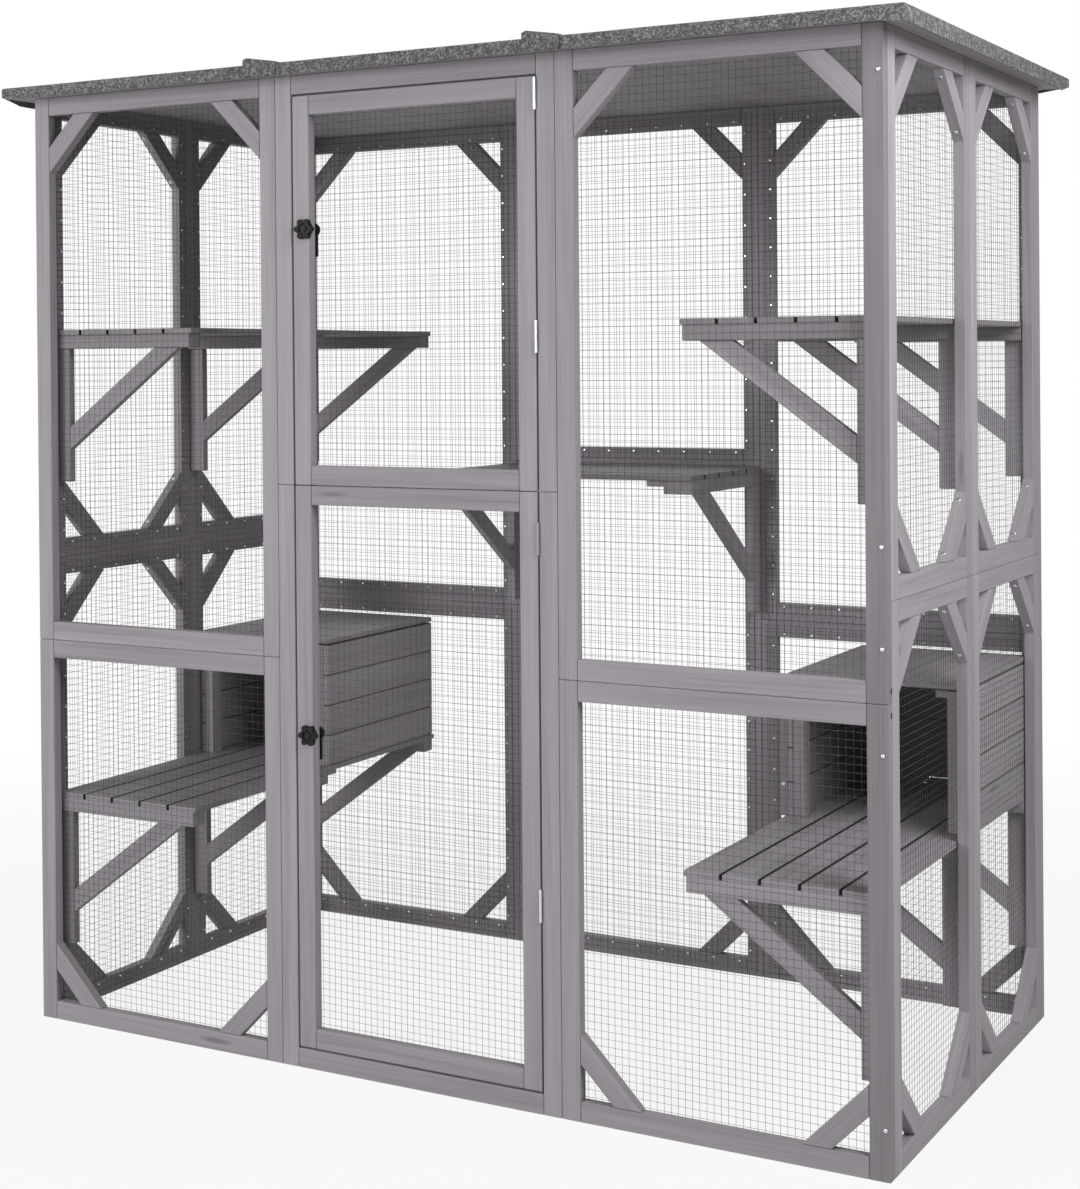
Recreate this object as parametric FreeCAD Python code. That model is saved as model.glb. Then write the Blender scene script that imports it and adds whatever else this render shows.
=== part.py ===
import FreeCAD, Part
import math
import os

os.makedirs("parts", exist_ok=True)

# Outside sizes of the body. X runs right along the front, Y to the back, Z up.
body_width = 1716.0
body_depth = 890.0
body_height = 1780.0
bay_count = 3
side_bay_count = 2

# Framing timber
member_width = 35.0
panel_thickness = 20.0
edge_round = 2.0
outer_bay_split = 734.0
middle_bay_split = 1046.0
side_split = 890.0

# Diagonal corner braces at 45 degrees, flush with their panels
brace_inner_leg = 62.0
brace_outer_leg = brace_inner_leg + member_width * math.sqrt(2)

# Doors
door_gap = 3.0

# Stand-in nets for the welded half-inch mesh on the inside of the panels
net_thickness = 2.0
net_bar = 3.0
net_pitch = 76.2
net_lap = 25.0
net_corner_clearance = 1.0

# Door hinges
hinge_length = 55.0
hinge_knuckle_gap = 0.4
hinge_middle_length = 22.0
hinge_barrel_radius = 2.5
hinge_pin_radius = 1.2
hinge_running_clearance = 0.05
hinge_leaf_thickness = 1.0
hinge_leaf_depth = 17.0
hinge_axis_proud = 2.5
hinge_leaf_setback = 2.8
hinge_barrel_round = 0.8
low_hinge_shares = {"lower": 0.284, "upper": 0.332}
high_hinge_drops = {"lower": 50.0, "upper": 2.0}

# Door latches
latch_edge_distance = 6.5
latch_height_shares = {"lower": 0.558, "upper": 0.656}
latch_plate_radius = 15.0
latch_plate_thickness = 2.0
latch_spindle_radius = 3.5
latch_running_clearance = 0.05
latch_knob_gap = 0.3
latch_knob_hub_radius = 14.0
latch_knob_thickness = 9.0
latch_lobe_count = 6
latch_lobe_radius = 5.5
latch_lobe_circle = 14.0
latch_net_hole_radius = 6.0
latch_bar_gap = 1.0
latch_bar_thickness = 5.0
latch_bar_width = 14.0
latch_bar_length = 48.0
latch_hub_radius = 12.0

# Roof
roof_side_overhang = 50.0
roof_front_overhang = 45.0
roof_thickness = 18.0
felt_thickness = 2.0
cover_width = 70.0
cover_height = 12.0
cover_crown_inset = 8.0
cover_side_height = 9.0
cover_edge_height = 2.0
cover_flap_thickness = 3.0
cover_flap_rise = 1.0

# Shelves and platforms along the two side walls
shelf_inner_edge = 500.0
shelf_end_clearance = 2.0
slat_count = 5
slat_gap = 4.5
slat_thickness = 10.0
beam_height = 26.0
beam_width = 35.0
beam_inset = 5.0
batten_width = 30.0
batten_height = 10.0
upper_shelf_top = 1332.0
platform_top = 435.0

# Shelf on the back wall
middle_shelf_front = 87.0
middle_shelf_top = 1044.0
end_beam_width = 60.0
middle_batten_width = 36.0
middle_batten_height = 12.0

# Brackets under the shelves
bracket_thickness = 15.0
bracket_leg_length = 258.0
strut_reach = 303.0
strut_drop = 195.0
strut_width = 35.0
bracket_end_distance = 4.0

# Sleeping boxes on the platforms
house_front = 20.0
house_inner_face = 505.0
house_wall_height = 248.0
house_plank_count = 4
house_wall_thickness = 12.0
house_post_width = 20.0
house_post_depth = 30.0
house_roof_thickness = 12.0

# Bolt heads
bolt_head_radius = 4.0
bolt_head_height = 2.5
bolt_head_round = 1.6
bolt_corner_distance = 8.0
bolt_height_shares = (0.045, 0.368, 0.460, 0.548, 0.959)

# Share of a unit direction above which an edge counts as lying along it
along_share = 0.99

half_width = body_width / 2
half_depth = body_depth / 2
bay_width = body_width / bay_count
half_bay = bay_width / 2
inner_half_width = half_width - panel_thickness
inner_half_depth = half_depth - panel_thickness
side_bay = 2 * inner_half_depth / side_bay_count
net_half_width = inner_half_width - net_thickness
net_half_depth = inner_half_depth - net_thickness
door_half_width = half_bay - member_width - door_gap
lower_door_bottom = member_width + door_gap
lower_door_top = middle_bay_split - door_gap / 2
upper_door_bottom = middle_bay_split + door_gap / 2
upper_door_top = body_height - member_width - door_gap
latch_x = -door_half_width + member_width - latch_edge_distance


def write_node(name, solids):
    shape = Part.makeCompound(solids)
    shape.exportStep("parts/" + name + ".step")


def block(low, high):
    return Part.makeBox(high[0] - low[0], high[1] - low[1], high[2] - low[2], FreeCAD.Vector(*low))


def round_along(shape, direction, radius):
    edges = []
    for edge in shape.Edges:
        line = edge.tangentAt(edge.FirstParameter)
        if abs(line.dot(direction)) > along_share:
            edges.append(edge)
    return shape.makeFillet(radius, edges)


def timber(low, high, axis):
    direction = FreeCAD.Vector(*[1 if i == axis else 0 for i in range(3)])
    return round_along(block(low, high), direction, edge_round)


def slanted_timber(outline, push, direction):
    face = Part.Face(Part.makePolygon(outline + [outline[0]]))
    return round_along(face.extrude(push), direction, edge_round)


# A panel stands in the XZ plane, its outside face at Y zero
def stile(low_x, bottom, top):
    return timber((low_x, 0, bottom), (low_x + member_width, panel_thickness, top), 2)


def rail(left, right, bottom):
    return timber((left, 0, bottom), (right, panel_thickness, bottom + member_width), 0)


def brace(corner_x, corner_z, side, rise):
    outline = []
    for run, climb in ((brace_inner_leg, 0), (brace_outer_leg, 0), (0, brace_outer_leg), (0, brace_inner_leg)):
        outline.append(FreeCAD.Vector(corner_x + side * run, 0, corner_z + rise * climb))
    direction = FreeCAD.Vector(side, 0, -rise).normalize()
    return slanted_timber(outline, FreeCAD.Vector(0, panel_thickness, 0), direction)


def panel(left, right, bottom, top, braces="", rails="both"):
    window_left = left + member_width
    window_right = right - member_width
    window_bottom = bottom + member_width
    window_top = top - member_width
    solids = [stile(left, bottom, top), stile(window_right, bottom, top)]
    if rails in ("both", "bottom"):
        solids.append(rail(window_left, window_right, bottom))
    if rails in ("both", "top"):
        solids.append(rail(window_left, window_right, window_top))
    if "b" in braces:
        solids.append(brace(window_left, window_bottom, 1, 1))
        solids.append(brace(window_right, window_bottom, -1, 1))
    if "t" in braces:
        solids.append(brace(window_left, window_top, 1, -1))
        solids.append(brace(window_right, window_top, -1, -1))
    return solids


def net(left, right, bottom, top):
    columns = round((right - left - net_bar) / net_pitch)
    rows = round((top - bottom - net_bar) / net_pitch)
    step_x = (right - left - net_bar) / columns
    step_z = (top - bottom - net_bar) / rows

    def ring(low_x, high_x, low_z, high_z):
        corners = ((low_x, low_z), (high_x, low_z), (high_x, high_z), (low_x, high_z), (low_x, low_z))
        return Part.makePolygon([FreeCAD.Vector(x, 0, z) for x, z in corners])

    rings = [ring(left, right, bottom, top)]
    for column in range(columns):
        for row in range(rows):
            low_x = left + net_bar + column * step_x
            low_z = bottom + net_bar + row * step_z
            rings.append(ring(low_x, low_x + step_x - net_bar, low_z, low_z + step_z - net_bar))
    face = Part.makeFace(rings, "Part::FaceMakerBullseye")
    return face.extrude(FreeCAD.Vector(0, net_thickness, 0))


def panel_net(left, right, bottom, top, left_lap=net_lap, right_lap=net_lap):
    return net(
        left + member_width - left_lap,
        right - member_width + right_lap,
        bottom + member_width - net_lap,
        top - member_width + net_lap,
    )


def moved(solids, x, y):
    return [solid.translated(FreeCAD.Vector(x, y, 0)) for solid in solids]


def turned(solids, x):
    result = []
    for solid in solids:
        copy = solid.copy()
        copy.rotate(FreeCAD.Vector(0, 0, 0), FreeCAD.Vector(0, 0, 1), 90)
        result.append(copy.translated(FreeCAD.Vector(x, 0, 0)))
    return result


# Front and back walls, three bays each
corner_lap = member_width - panel_thickness - net_corner_clearance
bays = {
    "left": (-half_width, -half_bay, outer_bay_split, corner_lap, net_lap),
    "middle": (-half_bay, half_bay, middle_bay_split, net_lap, net_lap),
    "right": (half_bay, half_width, outer_bay_split, net_lap, corner_lap),
}
front_nets = []
back_nets = []
for bay, (left, right, split, left_lap, right_lap) in bays.items():
    lower = panel(left, right, 0, split, "b")
    upper = panel(left, right, split, body_height, "t")
    nets = [
        panel_net(left, right, 0, split, left_lap, right_lap),
        panel_net(left, right, split, body_height, left_lap, right_lap),
    ]
    write_node("back_" + bay + "_lower_frame", moved(lower, 0, inner_half_depth))
    write_node("back_" + bay + "_upper_frame", moved(upper, 0, inner_half_depth))
    back_nets += moved(nets, 0, net_half_depth)
    if bay != "middle":
        write_node("front_" + bay + "_lower_frame", moved(lower, 0, -half_depth))
        write_node("front_" + bay + "_upper_frame", moved(upper, 0, -half_depth))
        front_nets += moved(nets, 0, -inner_half_depth)
write_node("back_wire_mesh", back_nets)
write_node("front_wire_mesh", front_nets)

# Side walls, two bays each between the front and back walls
left_nets = []
right_nets = []
for bay, start in (("front", -inner_half_depth), ("back", 0)):
    for level, bottom, top in (("lower", 0, side_split), ("upper", side_split, body_height)):
        solids = panel(start, start + side_bay, bottom, top, "bt")
        nets = [panel_net(start, start + side_bay, bottom, top)]
        write_node("left_" + bay + "_" + level + "_frame", turned(solids, -inner_half_width))
        write_node("right_" + bay + "_" + level + "_frame", turned(solids, half_width))
        left_nets += turned(nets, -net_half_width)
        right_nets += turned(nets, inner_half_width)
write_node("left_wire_mesh", left_nets)
write_node("right_wire_mesh", right_nets)

# Middle front bay: the jambs round the two doors
write_node("lower_door_jamb", moved(panel(-half_bay, half_bay, 0, middle_bay_split, rails="bottom"), 0, -half_depth))
upper_jamb = panel(-half_bay, half_bay, middle_bay_split, body_height, rails="top")
write_node("upper_door_jamb", moved(upper_jamb, 0, -half_depth))


# Doors with their latches and hinges
def along_y(radius, start, end, height):
    return Part.makeCylinder(radius, end - start, FreeCAD.Vector(latch_x, start, height), FreeCAD.Vector(0, 1, 0))


def door(bottom, top, latch_height):
    frame = moved(panel(-door_half_width, door_half_width, bottom, top), 0, -half_depth)
    bore = along_y(latch_spindle_radius + latch_running_clearance, -half_depth, -inner_half_depth, latch_height)
    frame[0] = frame[0].cut(bore)
    mesh = moved([panel_net(-door_half_width, door_half_width, bottom, top)], 0, -inner_half_depth)
    hole = along_y(latch_net_hole_radius, -inner_half_depth, -net_half_depth, latch_height)
    mesh[0] = mesh[0].cut(hole)
    return frame, mesh


def latch_plate(height):
    face = -half_depth - latch_plate_thickness
    disc = along_y(latch_plate_radius, face, -half_depth, height)
    bore = along_y(latch_spindle_radius + latch_running_clearance, face, -half_depth, height)
    return disc.cut(bore)


def latch_turn(height):
    knob_back = -half_depth - latch_plate_thickness - latch_knob_gap
    knob_front = knob_back - latch_knob_thickness
    bar_front = -net_half_depth + latch_bar_gap
    bar_back = bar_front + latch_bar_thickness
    knob = along_y(latch_knob_hub_radius, knob_front, knob_back, height)
    for index in range(latch_lobe_count):
        angle = math.radians(index * 360 / latch_lobe_count)
        shift = FreeCAD.Vector(math.cos(angle), 0, math.sin(angle)) * latch_lobe_circle
        knob = knob.fuse(along_y(latch_lobe_radius, knob_front, knob_back, height).translated(shift))
    spindle = along_y(latch_spindle_radius, knob_back, bar_front, height)
    hub = along_y(latch_hub_radius, bar_front, bar_back, height)
    half_bar = latch_bar_width / 2
    bar = block((latch_x - half_bar, bar_front, height - latch_bar_length), (latch_x + half_bar, bar_back, height))
    return knob.fuse([spindle, hub, bar]).removeSplitter()


hinge_x = door_half_width + door_gap / 2
hinge_y = -half_depth - hinge_axis_proud


def upright(radius, bottom, top):
    return Part.makeCylinder(radius, top - bottom, FreeCAD.Vector(hinge_x, hinge_y, bottom))


def knuckle(bottom, top, round_height):
    barrel = upright(hinge_barrel_radius, bottom, top)
    edges = []
    for edge in barrel.Edges:
        box = edge.BoundBox
        if abs(box.ZMin - round_height) < hinge_knuckle_gap and box.ZLength < hinge_knuckle_gap:
            edges.append(edge)
    return barrel.makeFillet(hinge_barrel_round, edges) if edges else barrel


def hinge_leaf(low_x, bottom, top, knuckles):
    high_x = low_x + hinge_leaf_thickness
    start = hinge_y + hinge_leaf_setback
    leaf = block((low_x, start, bottom), (high_x, start + hinge_leaf_depth, top))
    for low_z, high_z in knuckles:
        round_height = top if high_z == top else bottom
        lug = block((low_x, hinge_y, low_z), (high_x, start, high_z))
        leaf = leaf.fuse([knuckle(low_z, high_z, round_height), lug])
    return leaf


def hinge(bottom):
    top = bottom + hinge_length
    middle_bottom = bottom + (hinge_length - hinge_middle_length) / 2
    middle_top = middle_bottom + hinge_middle_length
    outer = ((bottom, middle_bottom - hinge_knuckle_gap), (middle_top + hinge_knuckle_gap, top))
    fixed = hinge_leaf(door_half_width + door_gap - hinge_leaf_thickness, bottom, top, outer)
    fixed = fixed.fuse(upright(hinge_pin_radius, bottom, top)).removeSplitter()
    moving = hinge_leaf(door_half_width, bottom, top, ((middle_bottom, middle_top),))
    bore = upright(hinge_pin_radius + hinge_running_clearance, middle_bottom, middle_top)
    return fixed, moving.cut(bore).removeSplitter()


door_levels = {
    "lower": (lower_door_bottom, lower_door_top),
    "upper": (upper_door_bottom, upper_door_top),
}
for level, (bottom, top) in door_levels.items():
    height = bottom + latch_height_shares[level] * (top - bottom)
    low_hinge = bottom + low_hinge_shares[level] * (top - bottom)
    high_hinge = top - high_hinge_drops[level] - hinge_length
    frame, mesh = door(bottom, top, height)
    write_node(level + "_door_frame", frame)
    write_node(level + "_door_mesh", mesh)
    write_node(level + "_latch_plate", [latch_plate(height)])
    write_node(level + "_latch_turn", [latch_turn(height)])
    hinges = [hinge(hinge_bottom) for hinge_bottom in (low_hinge, high_hinge)]
    write_node(level + "_door_hinges", [fixed for fixed, moving in hinges])
    write_node(level + "_door_hinge_leaves", [moving for fixed, moving in hinges])

# Roof: a board over each bay, felt over and round it, strips over the joints
roof_half_width = half_width + roof_side_overhang
roof_half_depth = half_depth + roof_front_overhang
roof_top = body_height + roof_thickness
board_top = roof_top - felt_thickness
board_depth = roof_half_depth - felt_thickness
roof_bays = {
    "left": (-roof_half_width, -half_bay),
    "middle": (-half_bay, half_bay),
    "right": (half_bay, roof_half_width),
}
for bay, (left, right) in roof_bays.items():
    board_left = left + felt_thickness if bay == "left" else left
    board_right = right - felt_thickness if bay == "right" else right
    write_node(bay + "_roof_board", [block((board_left, -board_depth, body_height), (board_right, board_depth, board_top))])
    felt = [
        block((left, -roof_half_depth, board_top), (right, roof_half_depth, roof_top)),
        block((left, -roof_half_depth, body_height), (right, -board_depth, board_top)),
        block((left, board_depth, body_height), (right, roof_half_depth, board_top)),
    ]
    if bay == "left":
        felt.append(block((left, -board_depth, body_height), (board_left, board_depth, board_top)))
    if bay == "right":
        felt.append(block((board_right, -board_depth, body_height), (right, board_depth, board_top)))
    write_node(bay + "_roof_felt", felt)


def cover_strip(centre):
    half_cover = cover_width / 2
    profile = (
        (-half_cover, 0),
        (-half_cover, cover_side_height),
        (cover_crown_inset - half_cover, cover_height),
        (half_cover, cover_edge_height),
        (half_cover, 0),
        (-half_cover, 0),
    )
    points = [FreeCAD.Vector(centre + x, -roof_half_depth, roof_top + z) for x, z in profile]
    strip = Part.Face(Part.makePolygon(points)).extrude(FreeCAD.Vector(0, 2 * roof_half_depth, 0))
    flaps = []
    for inner, outer in (
        (-roof_half_depth, -roof_half_depth - cover_flap_thickness),
        (roof_half_depth + cover_flap_thickness, roof_half_depth),
    ):
        low = (centre - half_cover, outer, body_height + cover_flap_rise)
        high = (centre + half_cover, inner, roof_top + cover_edge_height)
        flaps.append(block(low, high))
    return [strip] + flaps


write_node("roof_cover_strips", cover_strip(-half_bay) + cover_strip(half_bay))

# Shelves and platforms along the side walls, drawn on the right and mirrored
wall_edge = net_half_width
end_edge = net_half_depth - shelf_end_clearance
slat_width = (wall_edge - shelf_inner_edge - (slat_count - 1) * slat_gap) / slat_count


def mirrored(solids):
    return [solid.mirror(FreeCAD.Vector(0, 0, 0), FreeCAD.Vector(1, 0, 0)) for solid in solids]


def side_shelf(top, battened):
    solids = []
    underside = top - slat_thickness
    for index in range(slat_count):
        low_x = shelf_inner_edge + index * (slat_width + slat_gap)
        solids.append(timber((low_x, -end_edge, underside), (low_x + slat_width, end_edge, top), 1))
    for low_y in (-end_edge, -beam_width / 2, end_edge - beam_width):
        low = (shelf_inner_edge + beam_inset, low_y, underside - beam_height)
        solids.append(timber(low, (wall_edge, low_y + beam_width, underside), 0))
    if battened:
        low = (shelf_inner_edge + beam_inset, beam_width / 2, underside - batten_height)
        solids.append(timber(low, (wall_edge, beam_width / 2 + batten_width, underside), 0))
    return solids


# A bracket lies in the XZ plane with the wall on its right
def bracket(wall, low_y, top):
    leg_inside = wall - member_width
    leg = timber((leg_inside, low_y, top - bracket_leg_length), (wall, low_y + bracket_thickness, top), 2)
    slope = math.atan2(strut_drop, strut_reach - member_width)
    outline = [
        FreeCAD.Vector(leg_inside, low_y, top - strut_drop),
        FreeCAD.Vector(wall - strut_reach, low_y, top),
        FreeCAD.Vector(wall - strut_reach + strut_width / math.sin(slope), low_y, top),
        FreeCAD.Vector(leg_inside, low_y, top - strut_drop + strut_width / math.cos(slope)),
    ]
    direction = FreeCAD.Vector(math.cos(slope), 0, -math.sin(slope))
    strut = slanted_timber(outline, FreeCAD.Vector(0, bracket_thickness, 0), direction)
    return [leg, strut]


def side_brackets(top):
    end = end_edge - bracket_end_distance
    solids = []
    for low_y in (-end, -bracket_thickness / 2, end - bracket_thickness):
        solids += bracket(wall_edge, low_y, top)
    return solids


for name, top, battened in (("shelf", upper_shelf_top, False), ("platform", platform_top, True)):
    level = "upper" if name == "shelf" else "lower"
    shelf = side_shelf(top, battened)
    brackets = side_brackets(top - slat_thickness - beam_height)
    write_node(level + "_right_" + name, shelf)
    write_node(level + "_left_" + name, mirrored(shelf))
    write_node(level + "_right_brackets", brackets)
    write_node(level + "_left_brackets", mirrored(brackets))

# Shelf on the back wall
middle_underside = middle_shelf_top - slat_thickness
middle_slat_width = (net_half_depth - middle_shelf_front - (slat_count - 1) * slat_gap) / slat_count
middle_shelf = []
for index in range(slat_count):
    low_y = middle_shelf_front + index * (middle_slat_width + slat_gap)
    low = (-half_bay, low_y, middle_underside)
    middle_shelf.append(timber(low, (half_bay, low_y + middle_slat_width, middle_shelf_top), 0))
for low_x in (-half_bay, half_bay - end_beam_width):
    low = (low_x, middle_shelf_front + beam_inset, middle_underside - beam_height)
    middle_shelf.append(timber(low, (low_x + end_beam_width, net_half_depth, middle_underside), 1))
batten_right = half_bay - end_beam_width
low = (batten_right - middle_batten_width, middle_shelf_front + beam_inset, middle_underside - middle_batten_height)
middle_shelf.append(timber(low, (batten_right, net_half_depth, middle_underside), 1))
write_node("middle_shelf", middle_shelf)

middle_brackets = []
for low_x in (-half_bay, half_bay - bracket_thickness):
    solids = turned(bracket(0, 0, middle_underside - beam_height), low_x + bracket_thickness)
    middle_brackets += moved(solids, 0, net_half_depth)
write_node("middle_shelf_brackets", middle_brackets)

# Sleeping boxes at the back of the platforms
house_plank = house_wall_height / house_plank_count
house_top = platform_top + house_wall_height
house_walls = []
for index in range(house_plank_count):
    low_z = platform_top + index * house_plank
    high_z = low_z + house_plank
    side_front = house_front + house_post_depth
    for low_x in (house_inner_face, wall_edge - house_wall_thickness):
        low = (low_x, side_front, low_z)
        house_walls.append(timber(low, (low_x + house_wall_thickness, net_half_depth, high_z), 1))
    low = (house_inner_face + house_wall_thickness, net_half_depth - house_wall_thickness, low_z)
    high = (wall_edge - house_wall_thickness, net_half_depth, high_z)
    house_walls.append(timber(low, high, 0))
for low_x in (house_inner_face, wall_edge - house_post_width):
    low = (low_x, house_front, platform_top)
    high = (low_x + house_post_width, house_front + house_post_depth, house_top)
    house_walls.append(timber(low, high, 2))
house_roof = [
    block(
        (house_inner_face, house_front, house_top),
        (wall_edge, net_half_depth, house_top + house_roof_thickness),
    )
]
write_node("right_house_walls", house_walls)
write_node("left_house_walls", mirrored(house_walls))
write_node("right_house_roof", house_roof)
write_node("left_house_roof", mirrored(house_roof))


# Bolt heads of the front right corner
def bolt_head(point, direction):
    head = Part.makeCylinder(bolt_head_radius, bolt_head_height, FreeCAD.Vector(*point), direction)
    crown = FreeCAD.Vector(*point) + direction * bolt_head_height
    edges = [edge for edge in head.Edges if (edge.BoundBox.Center - crown).Length < bolt_head_round]
    return head.makeFillet(bolt_head_round, edges)


bolts = []
for share in bolt_height_shares:
    height = share * body_height
    bolts.append(bolt_head((half_width - bolt_corner_distance, -half_depth, height), FreeCAD.Vector(0, -1, 0)))
write_node("corner_bolts", bolts)
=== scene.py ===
import bmesh
import bpy
import math
import random
from mathutils import Matrix, Vector


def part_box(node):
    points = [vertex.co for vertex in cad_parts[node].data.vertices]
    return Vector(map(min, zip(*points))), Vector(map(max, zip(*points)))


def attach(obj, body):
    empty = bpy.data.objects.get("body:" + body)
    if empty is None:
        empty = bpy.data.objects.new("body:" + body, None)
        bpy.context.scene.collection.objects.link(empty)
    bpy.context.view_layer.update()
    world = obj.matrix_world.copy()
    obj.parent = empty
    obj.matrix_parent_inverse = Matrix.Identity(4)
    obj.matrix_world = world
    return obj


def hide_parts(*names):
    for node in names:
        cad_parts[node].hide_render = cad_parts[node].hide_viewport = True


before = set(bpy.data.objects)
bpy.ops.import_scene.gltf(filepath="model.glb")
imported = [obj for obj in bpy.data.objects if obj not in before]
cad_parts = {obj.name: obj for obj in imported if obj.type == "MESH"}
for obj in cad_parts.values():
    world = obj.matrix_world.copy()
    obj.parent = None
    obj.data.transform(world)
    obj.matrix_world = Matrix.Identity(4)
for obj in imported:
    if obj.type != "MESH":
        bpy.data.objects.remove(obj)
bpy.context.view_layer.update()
random.seed(41)
mm = 0.001
print("frame loaded")


# materials: colours are sRGB hex, the texture places are metres on the object
def linear(hexColour):
    channels = [int(hexColour[i:i + 2], 16) / 255 for i in (1, 3, 5)]
    return [c / 12.92 if c <= 0.04045 else ((c + 0.055) / 1.055) ** 2.4 for c in channels] + [1]


def addNode(tree, kind, inputs, **settings):
    node = tree.nodes.new(kind)
    for name, value in settings.items():
        setattr(node, name, value)
    for socket, value in inputs.items():
        if isinstance(value, bpy.types.NodeSocket):
            tree.links.new(value, node.inputs[socket])
        else:
            node.inputs[socket].default_value = value
    return node


def newMaterial(name, **values):
    material = bpy.data.materials.new(name)
    material.use_nodes = True
    shader = material.node_tree.nodes["Principled BSDF"]
    for socket, value in values.items():
        shader.inputs[socket.replace("_", " ")].default_value = value
    return material, material.node_tree, shader


def colourRamp(tree, fac, stops):
    ramp = addNode(tree, "ShaderNodeValToRGB", {"Fac": fac})
    elements = ramp.color_ramp.elements
    while len(elements) < len(stops):
        elements.new(0.5)
    for element, (place, colour) in zip(elements, stops):
        element.position = place
        element.color = linear(colour)
    return ramp.outputs["Color"]


def objectPlace(tree):
    return addNode(tree, "ShaderNodeTexCoord", {}).outputs["Object"]


def noise(tree, place, scale, detail, **more):
    inputs = {"Vector": place, "Scale": scale, "Detail": detail, **more}
    return addNode(tree, "ShaderNodeTexNoise", inputs).outputs["Fac"]


def stretched(tree, place, scale, **more):
    return addNode(tree, "ShaderNodeMapping", {"Vector": place, "Scale": scale, **more}).outputs[0]


def mapped(tree, value, fromLow, fromHigh, toLow, toHigh):
    inputs = {"Value": value, "From Min": fromLow, "From Max": fromHigh, "To Min": toLow, "To Max": toHigh}
    return addNode(tree, "ShaderNodeMapRange", inputs).outputs[0]


def calculated(tree, operation, first, second):
    return addNode(tree, "ShaderNodeMath", {0: first, 1: second}, operation=operation).outputs[0]


def mixed(tree, share, first, second, kind="FLOAT"):
    inputs = {"Factor": share, "A": first, "B": second}
    return addNode(tree, "ShaderNodeMix", inputs, data_type=kind).outputs["Result"]


def setBump(tree, shader, height, strength, distance):
    inputs = {"Height": height, "Strength": strength, "Distance": distance}
    tree.links.new(addNode(tree, "ShaderNodeBump", inputs).outputs[0], shader.inputs["Normal"])


# sawn fir under a thin grey stain: matt, fine darker grain along each stick, a few knots, a tone for each stick that
# is partly random and partly painted light and shade, and painted shade in the joints
# seam is the colour of the painted shade in joints and under lids
stain = {
    "dark": "#8B858B", "mid": "#A09AA0", "light": "#ABA6AC", "cool": "#9A9A9E", "knot": "#6F686C", "seam": "#2A272B",
    "roughness": 0.72, "grainLength": 0.28, "grainWidth": 0.0045, "grainRoughness": 0.62, "cloud": (1.6, 34, 34),
    "cloudShare": 0.45, "stops": (0.3, 0.5, 0.68), "knotSpacing": 0.34, "knotRows": 20, "knotChoice": 0.72,
    "knotEdge": (0.05, 0.13), "knotDepth": 0.75, "patch": (2.6, 22, 22), "patchStart": (3, 1, 2),
    "patchEdge": (0.5, 0.72), "patchDepth": 0.45, "toneRange": (0.7, 1.06), "bump": (0.25, 0.0006),
}


def stainedFir():
    material, tree, shader = newMaterial("greyStainedFir", Roughness=stain["roughness"])
    place, tone, seam = (
        addNode(tree, "ShaderNodeAttribute", {}, attribute_name=name).outputs[output]
        for name, output in (("grain", "Vector"), ("tone", "Fac"), ("seam", "Fac")))
    along, across = 1 / stain["grainLength"], 1 / stain["grainWidth"]
    grain = noise(tree, stretched(tree, place, (along, across, across)), 1.0, 5.0, Roughness=stain["grainRoughness"])
    cloud = noise(tree, stretched(tree, place, stain["cloud"]), 1.0, 2.0)
    colours = (stain["dark"], stain["mid"], stain["light"])
    wood = colourRamp(tree, mixed(tree, stain["cloudShare"], grain, cloud), tuple(zip(stain["stops"], colours)))
    # knots: small dark ovals, only in some cells
    cells = stretched(tree, place, (1 / stain["knotSpacing"], stain["knotRows"], stain["knotRows"]))
    knots = addNode(tree, "ShaderNodeTexVoronoi", {"Vector": cells, "Scale": 1.0})
    chosen = calculated(tree, "GREATER_THAN", knots.outputs["Color"], stain["knotChoice"])
    near = mapped(tree, knots.outputs["Distance"], *stain["knotEdge"], stain["knotDepth"], 0.0)
    wood = mixed(tree, calculated(tree, "MULTIPLY", chosen, near), wood, linear(stain["knot"]), "RGBA")
    # the stain turns cooler in long patches
    patches = stretched(tree, place, stain["patch"], Location=stain["patchStart"])
    share = mapped(tree, noise(tree, patches, 1.0, 1.0), *stain["patchEdge"], 0.0, stain["patchDepth"])
    wood = mixed(tree, share, wood, linear(stain["cool"]), "RGBA")
    # tone of the stick, partly painted light and shade, and painted shade in the joints between slats and planks and
    # under the lids
    lift = mapped(tree, tone, 0.0, 1.0, *stain["toneRange"])
    toned = addNode(tree, "ShaderNodeHueSaturation", {"Value": lift, "Color": wood}).outputs[0]
    tree.links.new(mixed(tree, seam, toned, linear(stain["seam"]), "RGBA"), shader.inputs["Base Color"])
    setBump(tree, shader, grain, *stain["bump"])
    return material


# bitumen felt with crushed slate pressed in: matt, grey grit, drawn 3 mm coarse so that it shows
feltLook = {
    "stops": ((0.2, "#343434"), (0.5, "#606161"), (0.8, "#A2A3A2")), "grit": 0.003, "roughness": 0.93,
    "patchScale": 55.0, "patchRoughness": 0.7, "patchShare": 0.5, "bump": (0.6, 0.0012),
}


def mineralFelt():
    material, tree, shader = newMaterial("mineralFelt", Roughness=feltLook["roughness"])
    place = objectPlace(tree)
    grit = addNode(tree, "ShaderNodeTexVoronoi", {"Vector": place, "Scale": 1 / feltLook["grit"]})
    patch = noise(tree, place, feltLook["patchScale"], 4.0, Roughness=feltLook["patchRoughness"])
    grey = mixed(tree, feltLook["patchShare"], grit.outputs["Color"], patch)
    tree.links.new(colourRamp(tree, grey, feltLook["stops"]), shader.inputs["Base Color"])
    setBump(tree, shader, grit.outputs["Distance"], *feltLook["bump"])
    return material


# galvanised welded wire dipped in black plastic: dark and glossy, a little dust in the gloss
wireLook = {"stops": ((0.3, "#1E1E20"), (0.7, "#303033")), "roughness": 0.34, "dustScale": 90.0}


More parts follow.
